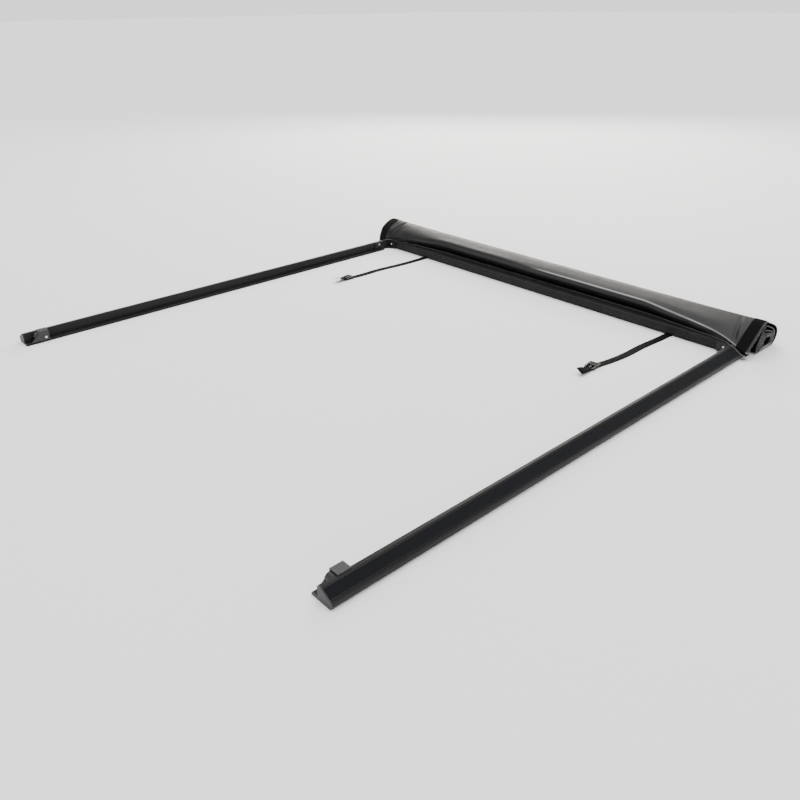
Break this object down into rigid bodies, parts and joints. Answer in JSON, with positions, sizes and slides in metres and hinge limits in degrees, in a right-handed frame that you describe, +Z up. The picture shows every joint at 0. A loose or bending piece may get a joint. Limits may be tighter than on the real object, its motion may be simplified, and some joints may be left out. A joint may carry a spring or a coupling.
{
  "type": "tonneau cover",
  "caption": "Soft roll-up tonneau cover for a pickup bed: frame of side rails and front header with the vinyl sheet rolled up at the cab end, latch catches and tie-down straps.",
  "frame": {"origin": "middle of the footprint, on the surface the rails stand on", "axes": "+X to the right across the bed, +Y from the tailgate to the cab, +Z up"},
  "size_m": [1.69, 1.7411, 0.0986],
  "materials": {
    "rail_coat": "black powder coat, fine texture, satin",
    "bracket_coat": "black powder-coated casting",
    "hook_tape": "blue-black hook tape",
    "end_cap_plastic": "moulded dark grey plastic",
    "seal_rubber": "foam rubber",
    "rod_plastic": "black plastic",
    "zinc_screw": "bright zinc",
    "latch_coat": "grey textured coat",
    "latch_bolt_plastic": "black nylon",
    "spring_steel": "spring wire",
    "vinyl": "black coated vinyl, satin",
    "loop_tape": "matte black loop tape",
    "bar_aluminium": "black anodised",
    "webbing": "black woven webbing",
    "buckle_plastic": "black acetal"
  },
  "bodies": {
    "frame": {"left_side_rail": "rail_coat", "right_side_rail": "rail_coat", "front_header": "rail_coat", "left_corner_bracket": "bracket_coat", "right_corner_bracket": "bracket_coat", "left_rail_hook_strip": "hook_tape", "right_rail_hook_strip": "hook_tape", "left_rail_end_cap": "end_cap_plastic", "right_rail_end_cap": "end_cap_plastic", "header_seal": "seal_rubber", "cover_retainer_rod": "rod_plastic", "corner_screws": "zinc_screw", "latch_screws": "zinc_screw", "strap_rivets": "zinc_screw", "left_latch_bracket": "latch_coat", "right_latch_bracket": "latch_coat", "left_latch_spring": "spring_steel", "right_latch_spring": "spring_steel", "left_latch_spring_pin": "spring_steel", "right_latch_spring_pin": "spring_steel", "cover_front_edge": "vinyl", "left_strap": "webbing", "right_strap": "webbing", "left_strap_buckle": "buckle_plastic", "right_strap_buckle": "buckle_plastic", "left_strap_anchor": "bracket_coat", "right_strap_anchor": "bracket_coat"},
    "roll": {"cover_roll": "vinyl", "left_cover_loop_strip": "loop_tape", "right_cover_loop_strip": "loop_tape", "tail_bar": "bar_aluminium", "left_tail_bar_end": "rod_plastic", "right_tail_bar_end": "rod_plastic", "tail_bar_rivets": "zinc_screw", "tail_bar_seal": "seal_rubber", "support_bow_1": "bar_aluminium", "support_bow_2": "bar_aluminium", "support_bow_3": "bar_aluminium"},
    "left_latch": {"left_latch_bolt": "latch_bolt_plastic"},
    "right_latch": {"right_latch_bolt": "latch_bolt_plastic"}
  },
  "joints": [
    {"name": "roll_lift", "type": "hinge", "parent": "frame", "child": "roll", "pos_m": [0, 0.7435, 0.0365], "axis": [1, 0, 0], "range_deg": [0, 30]},
    {"name": "left_latch_push", "type": "slide", "parent": "frame", "child": "left_latch", "axis": [0, 1, 0], "range_m": [0, 0.008], "stiffness_N_per_m": 400, "springref_m": -0.006, "deforming": ["left_latch_spring"]},
    {"name": "right_latch_push", "type": "slide", "parent": "frame", "child": "right_latch", "axis": [0, 1, 0], "range_m": [0, 0.008], "stiffness_N_per_m": 400, "springref_m": -0.006, "deforming": ["right_latch_spring"]}
  ]
}
